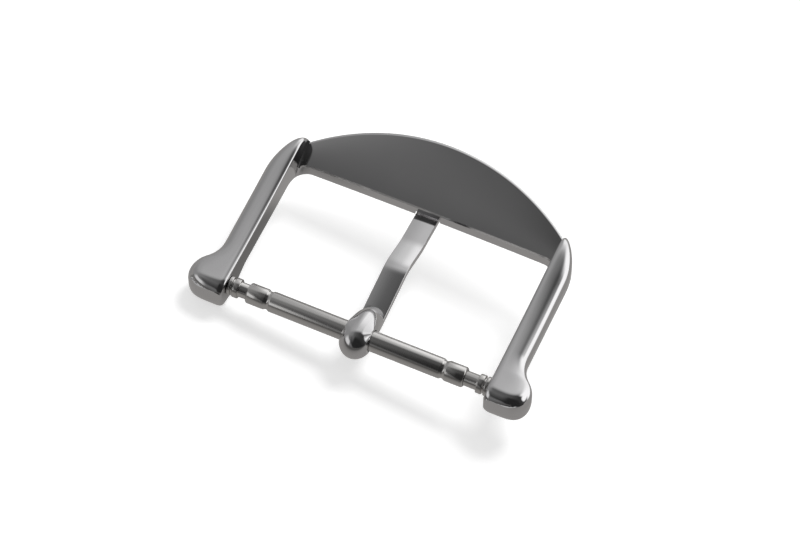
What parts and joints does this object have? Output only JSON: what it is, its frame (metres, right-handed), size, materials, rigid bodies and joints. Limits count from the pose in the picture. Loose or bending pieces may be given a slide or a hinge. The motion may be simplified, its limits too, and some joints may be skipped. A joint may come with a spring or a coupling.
{
  "type": "watch strap pin buckle",
  "caption": "Pin buckle for a watch strap: a curved polished frame with a bent tang that swings on a telescoping spring bar held between two lugs.",
  "frame": {"origin": "middle of the spring bar, on its axis, half way between the two lugs", "axes": "+X along the spring bar, +Y from the bar to the curved plate, +Z towards the side that lies on the wrist"},
  "size_m": [0.0262, 0.0179, 0.0037],
  "materials": {
    "frame_steel": "mirror polished stainless steel",
    "tang_steel": "mirror polished stainless steel",
    "tube_steel": "finely turned steel",
    "pin_steel": "turned steel",
    "spring_steel": "drawn spring wire"
  },
  "bodies": {
    "frame": {"buckle_frame": "frame_steel"},
    "tang": {"tang": "tang_steel"},
    "spring_core": {"bar_spring": "spring_steel"},
    "tube": {"bar_tube": "tube_steel"},
    "pin_left": {"left_pin": "pin_steel"},
    "pin_right": {"right_pin": "pin_steel"}
  },
  "joints": [
    {"name": "tang_swing", "type": "hinge", "parent": "frame", "child": "tang", "pos_m": [0, 0, 0], "axis": [-1, 0, 0], "range_deg": [0, 345]},
    {"name": "bar_spin", "type": "hinge", "parent": "frame", "child": "spring_core", "pos_m": [0, 0, 0], "axis": [1, 0, 0], "continuous": true},
    {"name": "left_tip_press", "type": "slide", "parent": "spring_core", "child": "pin_left", "axis": [1, 0, 0], "range_m": [0, 0.00072], "stiffness_N_per_m": 400, "springref_m": -0.0008, "deforming": ["bar_spring"]},
    {"name": "right_tip_press", "type": "slide", "parent": "spring_core", "child": "pin_right", "axis": [-1, 0, 0], "range_m": [0, 0.00072], "stiffness_N_per_m": 400, "springref_m": -0.0008, "deforming": ["bar_spring"]},
    {"name": "tube_float", "type": "slide", "parent": "spring_core", "child": "tube", "axis": [1, 0, 0], "range_m": [0, 0.00018]}
  ],
  "couplings": [
    {"joint": "tube_float", "follows": "left_tip_press", "ratio": 0.25}
  ]
}
